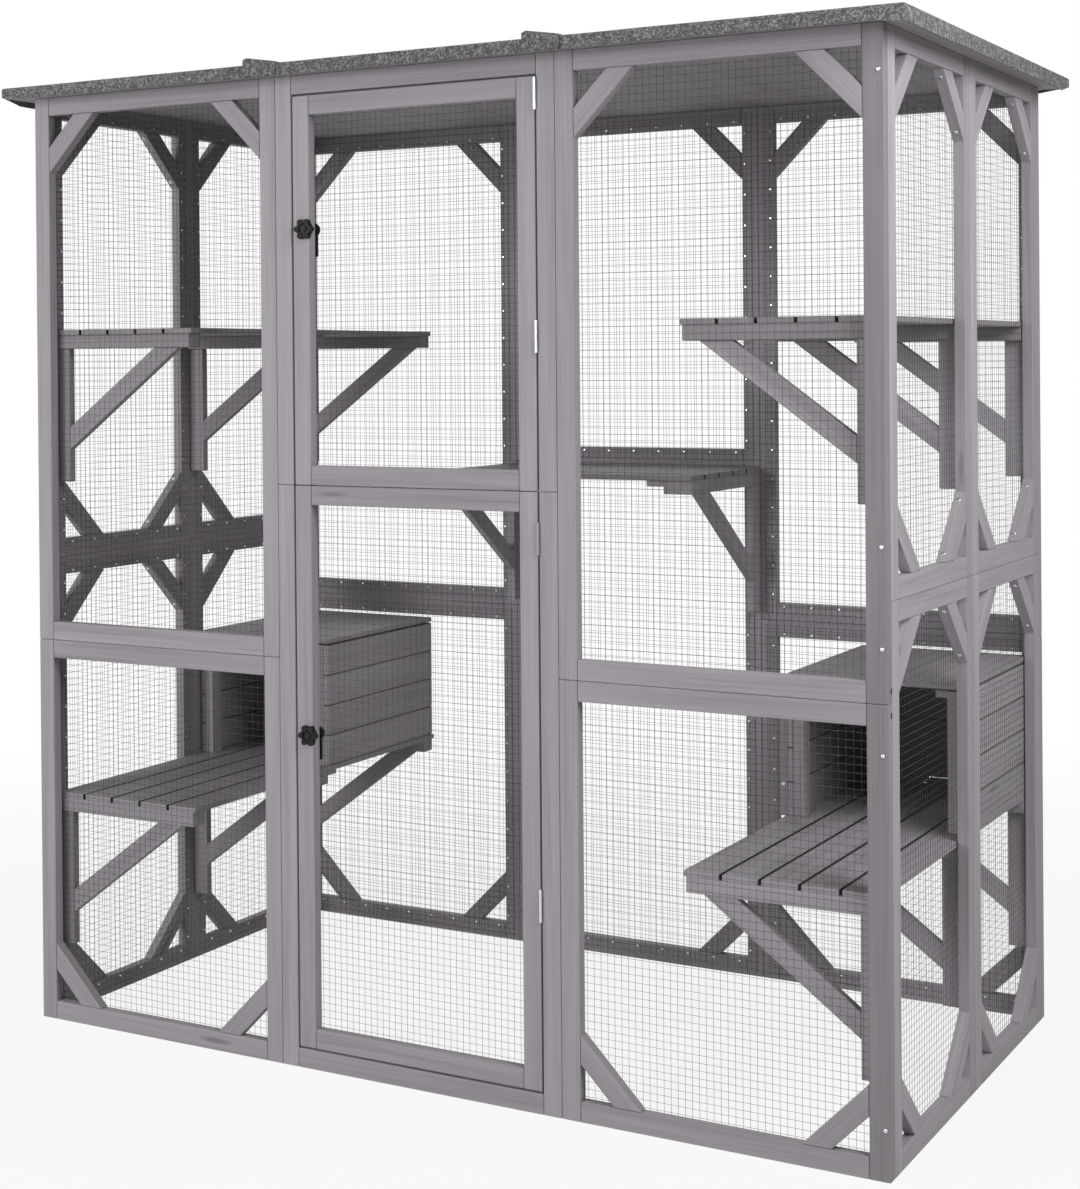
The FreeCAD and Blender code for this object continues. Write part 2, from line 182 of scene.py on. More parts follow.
def coatedWire():
    material, tree, shader = newMaterial("blackCoatedWire", Roughness=wireLook["roughness"])
    dust = noise(tree, objectPlace(tree), wireLook["dustScale"], 2.0)
    tree.links.new(colourRamp(tree, dust, wireLook["stops"]), shader.inputs["Base Color"])
    return material


# zinc plated mild steel: bright satin metal with a faint cloudy plating
zincLook = {"stops": ((0.35, "#C2C4C8"), (0.65, "#DDDFE2")), "cloudScale": 260.0, "roughness": (0.25, 0.42)}


def zincSteel():
    material, tree, shader = newMaterial("zincPlatedSteel", Metallic=1.0)
    cloud = noise(tree, objectPlace(tree), zincLook["cloudScale"], 3.0)
    tree.links.new(colourRamp(tree, cloud, zincLook["stops"]), shader.inputs["Base Color"])
    tree.links.new(mapped(tree, cloud, 0.0, 1.0, *zincLook["roughness"]), shader.inputs["Roughness"])
    return material


# the same plate where the wood stain ran over it, above a height: dull and the colour of the wood
stainedLook = {"bare": "#D0D2D5", "from": 0.79, "to": 0.81, "roughness": 0.45}


def zincSteelStainedOver():
    material, tree, shader = newMaterial("zincSteelStainedOver", Roughness=stainedLook["roughness"])
    height = addNode(tree, "ShaderNodeSeparateXYZ", {"Vector": objectPlace(tree)}).outputs["Z"]
    stained = mapped(tree, height, stainedLook["from"], stainedLook["to"], 0.0, 1.0)
    colour = colourRamp(tree, stained, ((0.0, stainedLook["bare"]), (1.0, stain["mid"])))
    tree.links.new(colour, shader.inputs["Base Color"])
    tree.links.new(mapped(tree, stained, 0.0, 1.0, 1.0, 0.0), shader.inputs["Metallic"])
    return material


# injection moulded polyamide: near black with a fine spark-eroded texture
nylonLook = {
    "stops": ((0.3, "#0F0F10"), (0.7, "#1A1A1C")), "roughness": 0.55, "specular": 0.2,
    "sparkScale": 1800.0, "bump": (0.2, 0.0003),
}


def mouldedNylon():
    material, tree, shader = newMaterial(
        "blackMouldedNylon", Roughness=nylonLook["roughness"], Specular_IOR_Level=nylonLook["specular"])
    spark = noise(tree, objectPlace(tree), nylonLook["sparkScale"], 2.0)
    tree.links.new(colourRamp(tree, spark, nylonLook["stops"]), shader.inputs["Base Color"])
    setBump(tree, shader, spark, *nylonLook["bump"])
    return material


fir = stainedFir()
felt = mineralFelt()
wire = coatedWire()
zinc = zincSteel()
zincStained = zincSteelStainedOver()
nylon = mouldedNylon()
print("materials made")


# shaping: faces and edges are picked by tests of their places, with a narrow and a wide margin
fine = 1e-5
coarse = 1 * mm


def deselect():
    bpy.ops.object.select_all(action="DESELECT")


def activate(*pieces):
    deselect()
    for piece in pieces:
        piece.select_set(True)
    bpy.context.view_layer.objects.active = pieces[0]


def applyPlace():
    bpy.ops.object.transform_apply()


def setMode(mode):
    bpy.ops.object.mode_set(mode=mode)


def startPick(kind):
    setMode("EDIT")
    bpy.ops.mesh.select_mode(type=kind)
    bpy.ops.mesh.select_all(action="DESELECT")
    setMode("OBJECT")


def pickFaces(piece, test):
    # leaves edit mode on, with the faces selected whose centre and normal pass the test
    startPick("FACE")
    for face in piece.data.polygons:
        face.select = test(face.center, face.normal)
    setMode("EDIT")


def pickEdges(piece, test):
    # leaves edit mode on, with the edges selected whose two ends pass the test
    startPick("EDGE")
    points = piece.data.vertices
    for edge in piece.data.edges:
        edge.select = test(points[edge.vertices[0]].co, points[edge.vertices[1]].co)
    setMode("EDIT")


def bevel(offset, segments):
    bpy.ops.mesh.bevel(offset=offset, segments=segments, affect="EDGES")


def roundEdges(piece, test, offset, segments):
    pickEdges(piece, test)
    bevel(offset, segments)


def insetStep(rim, edge, depth):
    # the picked face keeps a rim, then steps in or out by the depth
    bpy.ops.mesh.inset(thickness=rim)
    bpy.ops.mesh.inset(thickness=edge, depth=depth)


def cutAll(point, normal, **how):
    bpy.ops.mesh.select_all(action="SELECT")
    bpy.ops.mesh.bisect(plane_co=point, plane_no=normal, **how)


def smooth(degrees):
    bpy.ops.object.shade_smooth_by_angle(angle=math.radians(degrees))


def axisVector(axis, length=1):
    vector = Vector((0, 0, 0))
    vector[axis] = length
    return vector


def block(low, high):
    low, high = Vector(low), Vector(high)
    deselect()
    bpy.ops.mesh.primitive_cube_add(size=1, location=(low + high) / 2, scale=high - low)
    applyPlace()
    return bpy.context.object


def rod(low, axis, radius, length, sides):
    # a bar from low along an axis
    turn = ((0, math.pi / 2, 0), (math.pi / 2, 0, 0), (0, 0, 0))[axis]
    centre = Vector(low)
    centre[axis] += length / 2
    deselect()
    bpy.ops.mesh.primitive_cylinder_add(vertices=sides, radius=radius, depth=length, location=centre, rotation=turn)
    applyPlace()
    return bpy.context.object


def copyOf(piece):
    copy = piece.copy()
    copy.data = piece.data.copy()
    bpy.context.collection.objects.link(copy)
    return copy


def placeCopies(piece, places):
    # copies of a piece modelled at the origin, one for each matrix; the piece itself goes
    copies = [copyOf(piece) for place in places]
    for copy, place in zip(copies, places):
        copy.matrix_world = place
    activate(*copies)
    applyPlace()
    bpy.data.objects.remove(piece)
    return copies


def facing(point, direction):
    # a place at the point with its Z along the direction
    return Matrix.Translation(point) @ Vector(direction).to_track_quat("Z", "Y").to_matrix().to_4x4()


# wooden sticks; a stick without a tone of its own gets one from toneRange
stick = {
    "rounding": 1.5 * mm, "width": 35 * mm, "braceInner": 62 * mm, "joint": 0.25 * mm,
    "braceSpare": 0.5, "toneRange": (0.62, 0.98), "seamReach": 0.45, "grainStart": (30, 3, 3),
}
stick["braceOuter"] = stick["braceInner"] + stick["width"] * math.sqrt(2)


def grainStart():
    return [random.uniform(0, far) for far in stick["grainStart"]]


def setGrain(piece, along, seams, rounding, tone):
    # grain: metres along, across and through the stick from a random start; tone: 0 dark to 1 light, random or given
    # as painted light and shade;
    # seam: the painted shade on faces (axis, place, shade) that meet a neighbour, and nearly halfway round their
    # edges
    along = Vector(along).normalized()
    across = along.orthogonal().normalized()
    axes = (along, across, along.cross(across))
    start = grainStart()
    tone = random.uniform(*stick["toneRange"]) if tone is None else tone
    points = piece.data.vertices
    grain = [first + point.co.dot(axis) for point in points for first, axis in zip(start, axes)]
    dark = [0.0] * len(points)
    for axis, place, shade in seams:
        for point in points:
            if abs(point.co[axis] - place) < rounding * stick["seamReach"]:
                dark[point.index] = shade
    add = piece.data.attributes.new
    add("grain", "FLOAT_VECTOR", "POINT").data.foreach_set("vector", grain)
    add("tone", "FLOAT", "POINT").data.foreach_set("value", [tone] * len(points))
    add("seam", "FLOAT", "POINT").data.foreach_set("value", dark)


def shapeStick(along, cuts=(), rounding=stick["rounding"], seams=(), tone=None):
    piece = bpy.context.object
    applyPlace()
    setMode("EDIT")
    for point, normal in cuts:
        cutAll(point, normal, use_fill=True, clear_outer=True)
    bpy.ops.mesh.select_all(action="SELECT")
    bevel(rounding, 2)
    setMode("OBJECT")
    setGrain(piece, along, seams, rounding, tone)
    return piece


def board(low, high, grainAxis, rounding=stick["rounding"], seams=(), tone=None, cuts=()):
    block(low, high)
    return shapeStick(axisVector(grainAxis), cuts, rounding, seams, tone)


def slantedStick(start, end, across, thickness, cuts, tone=None):
    # a stick between two points, wide across, cut by the planes it ends on
    along = (end - start).normalized()
    side = across.cross(along).normalized()
    turn = Matrix((along, side, across.normalized())).transposed().to_euler()
    deselect()
    scale = ((end - start).length, stick["width"], thickness)
    bpy.ops.mesh.primitive_cube_add(size=1, location=(start + end) / 2, rotation=turn, scale=scale)
    return shapeStick(along, cuts, tone=tone)


def assemble(name, sticks, material, body, slot, *nodes):
    activate(*sticks)
    if len(sticks) > 1:
        bpy.ops.object.join()
    whole = bpy.context.object
    whole.name = name
    whole.data.name = name
    whole.data.materials.clear()
    whole.data.materials.append(material)
    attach(whole, body)
    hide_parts(*nodes)
    return whole


def wooden(name, sticks, node, body="root"):
    return assemble(name, sticks, fir, body, "stained_wood", node)


# frames: a panel lies along X or Y and is as thick as its box
def panelSticks(low, high, braces="", rails="both", tones=None):
    tones = tones or {}
    run = 0 if high.x - low.x > high.y - low.y else 1
    width, joint = stick["width"], stick["joint"]
    sticks = []

    def part(runLow, runHigh, zLow, zHigh, grainAxis, place):
        a, b = low.copy(), high.copy()
        a[run], b[run] = runLow + joint, runHigh - joint
        a.z, b.z = zLow + joint, zHigh - joint
        if zLow < joint:
            # it stands on the ground
            a.z = 0
        sticks.append(board(a, b, grainAxis, tone=tones.get(place)))

    inLow, inHigh = low[run] + width, high[run] - width
    part(low[run], inLow, low.z, high.z, 2, "left")
    part(inHigh, high[run], low.z, high.z, 2, "right")
    if rails in ("both", "bottom"):
        part(inLow, inHigh, low.z, low.z + width, run, "bottom")
    if rails in ("both", "top"):
        part(inLow, inHigh, high.z - width, high.z, run, "top")
    # the braces run from edge to edge of the window, drawn long and cut there
    middle, spare = (stick["braceInner"] + stick["braceOuter"]) / 2, stick["braceSpare"]
    across = axisVector(1 - run)
    thin = high[1 - run] - low[1 - run] - 2 * joint
    for corner, edgeZ, rise in (("b", low.z + width, 1), ("t", high.z - width, -1)):
        if corner not in braces:
            continue
        for edgeRun, side in ((inLow, 1), (inHigh, -1)):
            base = (low + high) / 2
            base[run], base.z = edgeRun, edgeZ
            sideways, upward = axisVector(run, side), axisVector(2, rise)
            start = base + sideways * middle * (1 + spare) - upward * middle * spare
            end = base + upward * middle * (1 + spare) - sideways * middle * spare
            cut = base + (sideways + upward) * joint
            cuts = ((cut, -sideways), (cut, -upward))
            sticks.append(slantedStick(start, end, across, thin, cuts, tones.get("brace")))
    return sticks


def camel(node):
    words = node.split("_")
    return words[0] + "".join(word.capitalize() for word in words[1:]) + "Wood"


def framePanel(name, node, braces="", rails="both", body="root", tones=None, grow=(0, 0)):
    low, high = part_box(node)
    low.z, high.z = low.z - grow[0], high.z + grow[1]
    return wooden(name, panelSticks(low, high, braces, rails, tones), node, body)


def copyPanel(source, sourceNode, node):
    # the same panel in another place, with grain from other places in the wood
    panel = copyOf(source)
    panel.name = panel.data.name = camel(node)
    activate(panel)
    bpy.ops.transform.translate(value=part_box(node)[0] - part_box(sourceNode)[0])
    applyPlace()
    values = [0.0] * (3 * len(panel.data.vertices))
    grain = panel.data.attributes["grain"].data
    grain.foreach_get("vector", values)
    start = grainStart()
    grain.foreach_set("vector", [value + start[i % 3] for i, value in enumerate(values)])
    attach(panel, "root")
    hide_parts(node)


# how light the named sticks are drawn, 0 dark to 1 light, as painted light and shade over the stain; the front's
# darkest, painted shade, is its right corner
leftFrontToneAndPaintedLight = {"left": 0.7, "right": 0.9, "top": 0.5, "brace": 0.55}
rightFrontToneAndPaintedLight = {"left": 0.8, "right": 0.0, "top": 0.8, "brace": 0.7}
# the back panels are drawn darker: painted shade inside the cage
backPaintedShade = {"left": 0.5, "right": 0.55, "top": 0.5, "bottom": 0.45, "brace": 0.45}
# the left side is drawn dark, painted shade inside the cage; the right side lighter towards its front, painted light
sidePaintedLightAndShade = {
    "left": {"left": 0.3, "right": 0.3, "top": 0.3, "bottom": 0.3, "brace": 0.3},
    "right": {"left": 0.95, "right": 0.55, "top": 0.8, "bottom": 0.8, "brace": 0.85},
}
for level, braces in (("lower", "b"), ("upper", "t")):
    spots = ("front_left", "front_right", "back_left", "back_right", "back_middle")
    leftFront, rightFront, leftBack, rightBack, middleBack = (spot + "_" + level + "_frame" for spot in spots)
    framePanel(camel(leftFront), leftFront, braces, tones=leftFrontToneAndPaintedLight)
    framePanel(camel(rightFront), rightFront, braces, tones=rightFrontToneAndPaintedLight)
    panel = framePanel(camel(leftBack), leftBack, braces, tones=backPaintedShade)
    copyPanel(panel, leftBack, rightBack)
    framePanel(camel(middleBack), middleBack, braces, tones=backPaintedShade)
for side, tones in sidePaintedLightAndShade.items():
    first = side + "_front_lower_frame"
    panel = framePanel(camel(first), first, "bt", tones=tones)
    for spot in ("front_upper", "back_lower", "back_upper"):
        copyPanel(panel, first, side + "_" + spot + "_frame")
# the two door leaves grow towards each other and meet in a narrow line
door = {
    "grow": 1.1 * mm,
    # door tones: partly painted light and shade, with top rails darker as painted shade under the roof
    "lowerJamb": {"left": 0.98, "right": 0.84}, "upperJamb": {"left": 1.0, "right": 0.84, "top": 0.5},
    "lower": {"left": 0.78, "right": 0.86}, "upper": {"left": 0.93, "right": 0.86, "top": 0.6},
}
framePanel("lowerDoorJambWood", "lower_door_jamb", rails="bottom", tones=door["lowerJamb"])
framePanel("upperDoorJambWood", "upper_door_jamb", rails="top", tones=door["upperJamb"])
framePanel("lowerDoorWood", "lower_door_frame", body="lower_door", tones=door["lower"], grow=(0, door["grow"]))
framePanel("upperDoorWood", "upper_door_frame", body="upper_door", tones=door["upper"], grow=(door["grow"], 0))
print("frames made")


# welded wire mesh, half-inch squares, uprights against the wood and cross wires inside
mesh = {
    "pitch": 12.7 * mm, "wire": 0.6 * mm, "sides": 6, "crossDepth": 1.4, "lap": 25 * mm, "cornerLap": 14 * mm,
    "tackRadius": 2.4 * mm, "tackHeight": 1.1 * mm, "tackSides": 10, "tackRound": 0.45, "tackPitch": 60 * mm,
    "tackFromWindow": 7 * mm, "tackEase": 0.4, "tackDepth": (1.9, 0.2),
}


def repeat(piece, step, count):
    array = piece.modifiers.new("row", "ARRAY")
    array.count = count
    array.use_relative_offset = False
    array.use_constant_offset = True
    array.constant_offset_displace = step
    bpy.ops.object.modifier_apply(modifier="row")
    return piece


def tackRow(start, end, thin):
    # domed tack heads over the crossing wires
    low = start - axisVector(thin, mesh["tackHeight"] / 2)
    piece = rod(low, thin, mesh["tackRadius"], mesh["tackHeight"], mesh["tackSides"])
    setMode("EDIT")
    bevel(mesh["tackHeight"] * mesh["tackRound"], 1)
    setMode("OBJECT")
    count = max(2, round((end - start).length / mesh["tackPitch"]) + 1)
    return repeat(piece, (end - start) / (count - 1), count)


def sheetAxes(low, high, outward):
    # the axis through the sheet, the one along it, the way to the wood and the place of the wood's face
    thin = 0 if abs(outward[0]) > 0.5 else 1
    sign = 1 if outward[thin] > 0 else -1
    return thin, 1 - thin, sign, high[thin] if sign > 0 else low[thin]


def wireSheet(low, high, outward):
    # outward points from the inside of the cage towards the wood; the uprights lie against the wood
    thin, run, sign, woodFace = sheetAxes(low, high, outward)
    pitch, diameter = mesh["pitch"], mesh["wire"]
    columns, lines = (int((high[axis] - low[axis] - diameter) / pitch) for axis in (run, 2))
    start = low.copy()
    start[run] = (low[run] + high[run] - columns * pitch) / 2
    start[thin] = woodFace - sign * diameter * 0.5
    upright = rod(start, 2, diameter / 2, high.z - low.z, mesh["sides"])
    uprights = repeat(upright, axisVector(run, pitch), columns + 1)
    start = low.copy()
    start.z = (low.z + high.z - lines * pitch) / 2
    start[thin] = woodFace - sign * diameter * mesh["crossDepth"]
    cross = rod(start, run, diameter / 2, high[run] - low[run], mesh["sides"])
    return [uprights, repeat(cross, axisVector(2, pitch), lines + 1)]


def tackSheet(low, high, outward):
    thin, run, sign, woodFace = sheetAxes(low, high, outward)
    wires, heads = mesh["tackDepth"]
    depth = woodFace - sign * (mesh["wire"] * wires + mesh["tackHeight"] * heads)
    # at the corners of the cage the sheets of the front and back lap less
    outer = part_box("back_wire_mesh")[1].x - coarse
    inset, cornerInset = (mesh[lap] - mesh["tackFromWindow"] for lap in ("lap", "cornerLap"))
    insets = [cornerInset if run == 0 and abs(edge[0]) > outer else inset for edge in (low, high)]
    runLow, runHigh = low[run] + insets[0], high[run] - insets[1]
    zLow, zHigh = low.z + inset, high.z - inset
    ease = mesh["tackPitch"] * mesh["tackEase"]

    def row(*ends):
        start, end = (axisVector(run, place) + axisVector(thin, depth) + axisVector(2, z) for place, z in ends)
        return tackRow(start, end, thin)

    uprights = [row((place, zLow + ease), (place, zHigh - ease)) for place in (runLow, runHigh)]
    return uprights + [row((runLow + ease, z), (runHigh - ease, z)) for z in (zLow, zHigh)]


def spanOf(points):
    return [Vector([pick(point[axis] for point in points) for axis in range(3)]) for pick in (min, max)]


def solidBoxes(node):
    # the boxes of a node's separate sheets, in the same order each run
    work = bmesh.new()
    work.from_mesh(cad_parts[node].data)
    bmesh.ops.remove_doubles(work, verts=work.verts, dist=1e-6)
    left = set(work.verts)
    boxes = []
    while left:
        group = []
        stack = [left.pop()]
        while stack:
            vertex = stack.pop()
            group.append(vertex.co.copy())
            for edge in vertex.link_edges:
                other = edge.other_vert(vertex)
                if other in left:
                    left.discard(other)
                    stack.append(other)
        boxes.append(spanOf(group))
    work.free()
    return sorted(boxes, key=lambda box: tuple(box[0]))


for name, node, outward, body in (
    ("frontWire", "front_wire_mesh", (0, -1), "root"),
    ("backWire", "back_wire_mesh", (0, 1), "root"),
    ("leftWire", "left_wire_mesh", (-1, 0), "root"),
    ("rightWire", "right_wire_mesh", (1, 0), "root"),
    ("lowerDoorWire", "lower_door_mesh", (0, -1), "lower_door"),
    ("upperDoorWire", "upper_door_mesh", (0, -1), "upper_door"),
):
    rows, tacks = [], []
    for low, high in solidBoxes(node):
        rows += wireSheet(low, high, outward)
        tacks += tackSheet(low, high, outward)
    assemble(name, rows, wire, body, "mesh_wire", node)
    assemble(name + "Tacks", tacks, zinc, body, "zinc_steel")
print("wire mesh made")


# roof: boards, felt folded over their outer edges, and strips over the joints
roof = {
    "feltRound": 4 * mm, "feltThickness": 2 * mm, "hang": 5 * mm, "gableHang": 5 * mm, "wave": 0.7 * mm,
    "cornerRound": 14 * mm, "tuck": 60 * mm, "tuckRise": 6 * mm, "linesX": 7, "linesY": 11, "smooth": 40,
    "tucked": {"left": ((-1, -1), (-1, 1)), "middle": (), "right": ((1, 1),)}, "boardRound": 0.8 * mm,
    "cover": 12 * mm, "coverLeft": 9 * mm, "coverRight": 2 * mm, "crownInset": 8 * mm, "coverRound": 1.6 * mm,
    "flap": 3 * mm, "flapRound": 1 * mm,
}


def tuckedCorners(bay, low, high):
    return [Vector((high.x if right > 0 else low.x, high.y if back > 0 else low.y, 0))
            for right, back in roof["tucked"][bay]]


def crossLines(low, high, gables):
    # lines across the picked sheet let its folds and lower edges wave
    for axis, lines, extra in (
        (0, roof["linesX"], [x - math.copysign(roof["tuck"], x) for x in gables]),
        (1, roof["linesY"], [low.y + roof["tuck"], high.y - roof["tuck"]]),
    ):
        even = [low[axis] + (high[axis] - low[axis]) * step / lines for step in range(1, lines)]
        for place in even + extra:
            cutAll(axisVector(axis, place), axisVector(axis))


def feltSheet(bay):
    # one sheet over the board, folded down over its outer edges
    low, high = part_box(bay + "_roof_felt")
    low.z -= roof["hang"]
    sheet = block(low, high)
    openSides = [low.x] * (bay != "left") + [high.x] * (bay != "right")
    gables = [x for x in (low.x, high.x) if x not in openSides]
    corners = tuckedCorners(bay, low, high)
    reach = roof["cornerRound"] + fine

    def nearCorner(point, reach):
        return any(abs(point.x - corner.x) < reach and abs(point.y - corner.y) < reach for corner in corners)

    def onGable(point):
        return any(abs(point.x - x) < fine for x in gables)

    def onEnd(point):
        return min(point.y - low.y, high.y - point.y) < fine

    def onOpenSide(a, b):
        return any(abs(a.x - x) < fine and abs(b.x - x) < fine for x in openSides)

    def isFold(a, b):
        if min(a.z, b.z) > high.z - fine:
            return all(onGable(p) or onEnd(p) or nearCorner(p, reach) for p in (a, b)) and not onOpenSide(a, b)
        # the corner that is folded square
        upper = max(a, b, key=lambda point: point.z)
        byGable = gables and all(abs(p.x - x) < coarse for p in (a, b) for x in gables)
        return bool(upper.z > high.z - fine and byGable and onEnd(upper))

    pickFaces(sheet, lambda centre, normal: normal.z < -0.5 or any(abs(centre.x - x) < fine for x in openSides))
    bpy.ops.mesh.delete(type="FACE")
    crossLines(low, high, gables)
    if corners:
        roundEdges(sheet, lambda a, b: abs(a.z - b.z) > coarse and nearCorner(a, fine), roof["cornerRound"], 4)
        # the gable flap hangs lowest, and the rounded corners are tucked up
        bottom = low.z + fine
        away = roof["tuck"] - fine
        pickEdges(sheet, lambda a, b: max(a.z, b.z) < bottom and all(
            onGable(p) and not nearCorner(p, away) for p in (a, b)))
        bpy.ops.transform.translate(value=(0, 0, -roof["gableHang"]))
        pickEdges(sheet, lambda a, b: max(a.z, b.z) < bottom and nearCorner(a, reach) and nearCorner(b, reach))
        bpy.ops.transform.translate(value=(0, 0, roof["tuckRise"]))
    pickEdges(sheet, lambda a, b: max(a.z, b.z) < high.z - coarse)
    bpy.ops.transform.vertex_random(offset=roof["wave"], seed=5)
    pickEdges(sheet, isFold)
    bpy.ops.transform.vertex_random(offset=roof["wave"] / 2, seed=3)
    bevel(roof["feltRound"], 3)
    setMode("OBJECT")
    wall = sheet.modifiers.new("wall", "SOLIDIFY")
    wall.thickness = roof["feltThickness"]
    wall.offset = -1
    bpy.ops.object.modifier_apply(modifier="wall")
    smooth(roof["smooth"])
    return assemble(bay + "RoofFelt", [sheet], felt, "root", "roofing_felt", bay + "_roof_felt")


def coverStrip(low, high):
    # a ridge of felt over the joint, highest near its left edge and flat at its right
    strip = block(low, high)
    setMode("EDIT")
    bpy.ops.mesh.bisect(plane_co=(low.x + roof["crownInset"], 0, 0), plane_no=(1, 0, 0))
    for edgeX, thickness in ((low.x, roof["coverLeft"]), (high.x, roof["coverRight"])):
        pickEdges(strip, lambda a, b: all(p.z > high.z - fine and abs(p.x - edgeX) < fine for p in (a, b)))
        bpy.ops.transform.translate(value=(0, 0, thickness - roof["cover"]))
    roundEdges(strip, lambda a, b: min(a.z, b.z) > low.z + coarse, roof["coverRound"], 2)
    setMode("OBJECT")
    return strip


for bay in ("left", "middle", "right"):
    node = bay + "_roof_board"
    low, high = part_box(node)
    # its corners stay inside the rounded ones of the felt
    trim = roof["cornerRound"] - roof["feltThickness"]
    cuts = []
    for corner in tuckedCorners(bay, low, high):
        outward = Vector((math.copysign(1, corner.x), math.copysign(1, corner.y), 0))
        cuts.append((corner - Vector((0, outward.y * trim, 0)), outward))
    wooden(bay + "RoofBoard", [board(low, high, 1, rounding=roof["boardRound"], cuts=cuts)], node)
    feltSheet(bay)
coverLow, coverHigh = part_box("roof_cover_strips")
coverLow.z -= roof["hang"]
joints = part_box("middle_roof_felt")
roofTop = joints[1].z
half = coverHigh.x - joints[1].x
strips = []
for joint in (joints[0].x, joints[1].x):
    left, right = joint - half, joint + half
    strips.append(coverStrip(Vector((left, coverLow.y, roofTop)), Vector((right, coverHigh.y, coverHigh.z))))
    for y in (coverLow.y, coverHigh.y - roof["flap"]):
        flap = block((left, y, coverLow.z), (right, y + roof["flap"], roofTop))
        roundEdges(flap, lambda a, b: min(a.z, b.z) < roofTop - coarse, roof["flapRound"], 2)
        setMode("OBJECT")
        strips.append(flap)
assemble("roofCoverStrips", strips, felt, "root", "roofing_felt", "roof_cover_strips")

# hinges and latch plates keep their frame shapes; the lower door's top hinge has the colour of the wood
for node, material in (
    ("lower_door_hinges", zincStained), ("lower_door_hinge_leaves", zincStained),
    ("upper_door_hinges", zinc), ("upper_door_hinge_leaves", zinc),
    ("lower_latch_plate", nylon), ("upper_latch_plate", nylon),
):
    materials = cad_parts[node].data.materials
    materials.clear()
    materials.append(material)

# fasteners: domed screws in the side braces, socket bolts in the front corner
fastener = {
    "screw": {"radius": 4.1 * mm, "height": 1.5 * mm, "dome": 1.2 * mm, "socket": 0.5},
    "bolt": {"radius": 3.4 * mm, "height": 2.5 * mm, "dome": 1.4 * mm, "socket": 0.7},
    "sides": 20, "smooth": 35, "fromEnd": 14 * mm, "fromCorner": 8 * mm,
    "boltShares": (0.045, 0.368, 0.460, 0.548, 0.959),
}


def fastenerHead(kind):
    radius, height, dome, socket = fastener[kind].values()
    head = rod((0, 0, 0), 2, radius, height, fastener["sides"])
    roundEdges(head, lambda a, b: min(a.z, b.z) > height - fine, dome, 3)
    pickFaces(head, lambda centre, normal: normal.z > 0.99)
    insetStep((radius - dome) * (1 - socket), 0, -height * 0.5)
    setMode("OBJECT")
    smooth(fastener["smooth"])
    return head


def braceScrews(node):
    # two in the window face of each brace, near its ends; the lowest braces have none
    low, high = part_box(node)
    onGround = low.z < stick["width"]
    middle = (low.x + high.x) / 2
    nearEnd, farEnd = fastener["fromEnd"], stick["braceOuter"] - fastener["fromEnd"]
    places = []
    for railZ, rise in ((low.z + stick["width"], 1), (high.z - stick["width"], -1)):
        if onGround and rise > 0:
            continue
        for stileY, side in ((low.y + stick["width"], 1), (high.y - stick["width"], -1)):
            direction = Vector((0, side, rise)).normalized()
            for up, aside in ((nearEnd, farEnd), (farEnd, nearEnd)):
                places.append(facing(Vector((middle, stileY + side * aside, railZ + rise * up)), direction))
    return places


places = []
for side in ("left", "right"):
    for spot in ("front_lower", "front_upper", "back_lower", "back_upper"):
        places += braceScrews(side + "_" + spot + "_frame")
assemble("braceScrews", placeCopies(fastenerHead("screw"), places), zinc, "root", "zinc_steel")
low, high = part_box("front_right_upper_frame")
boltX = high.x - fastener["fromCorner"]
places = [facing((boltX, low.y, share * high.z), (0, -1, 0)) for share in fastener["boltShares"]]
assemble("cornerBolts", placeCopies(fastenerHead("bolt"), places), zinc, "root", "zinc_steel", "corner_bolts")

# two dark plugs in the side of the front corner, above and below the joint of the panels
plug = {
    "size": Vector((1 * mm, 4.5 * mm, 9 * mm)), "fromFront": 17 * mm, "fromJoint": 19 * mm, "proud": 0.4 * mm,
    "round": 0.35 * mm,
}
low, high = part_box("front_right_lower_frame")
plugs = []
for rise in (-1, 1):
    outer = Vector((high.x + plug["proud"], low.y + plug["fromFront"], high.z + rise * plug["fromJoint"]))
    centre = outer - axisVector(0, plug["size"].x / 2)
    piece = block(centre - plug["size"] / 2, centre + plug["size"] / 2)
    roundEdges(piece, lambda a, b: max(a.x, b.x) > high.x, plug["round"], 2)
    setMode("OBJECT")
    plugs.append(piece)
assemble("cornerPlugs", plugs, nylon, "root", "black_plastic")

# latch: lobed knob, spindle through the stile, turning bar inside
latch = {
    "hub": {"radius": 15 * mm, "back": 0.6 * mm, "sides": 36}, "thickness": 9 * mm, "round": 1 * mm,
    "dish": (3.5 * mm, 0.8 * mm, -2.6 * mm), "boss": (3.4 * mm, 0.5 * mm, 1.8 * mm),
    "lobes": 6, "lobe": {"radius": 5.5 * mm, "circle": 14 * mm, "sides": 16, "ribs": 0.9},
    "lobeDish": (1.2 * mm, 1 * mm, -0.9 * mm), "spindle": (3.5 * mm, 20), "inner": (12 * mm, 32),
    "bar": {"width": 14 * mm, "thickness": 5 * mm, "round": 1.5 * mm}, "barDish": (2.5 * mm, 0.5 * mm, -1.2 * mm),
    "smooth": 30,
}


def latchLobe(front):
    radius, circle, sides, ribs = latch["lobe"].values()
    lobe = rod((circle, front, 0), 1, radius, latch["thickness"], sides)
    # every other edge drawn in gives the grip its ribs
    pickEdges(lobe, lambda a, b: abs(a.y - b.y) > coarse and round(
        math.atan2(a.z, a.x - circle) / (math.tau / sides)) % 2 == 0)
    bpy.ops.transform.resize(value=(ribs, 1, ribs), center_override=(circle, front, 0))
    pickFaces(lobe, lambda centre, normal: normal.y < -0.99)
    insetStep(*latch["lobeDish"])
    setMode("OBJECT")
    return lobe


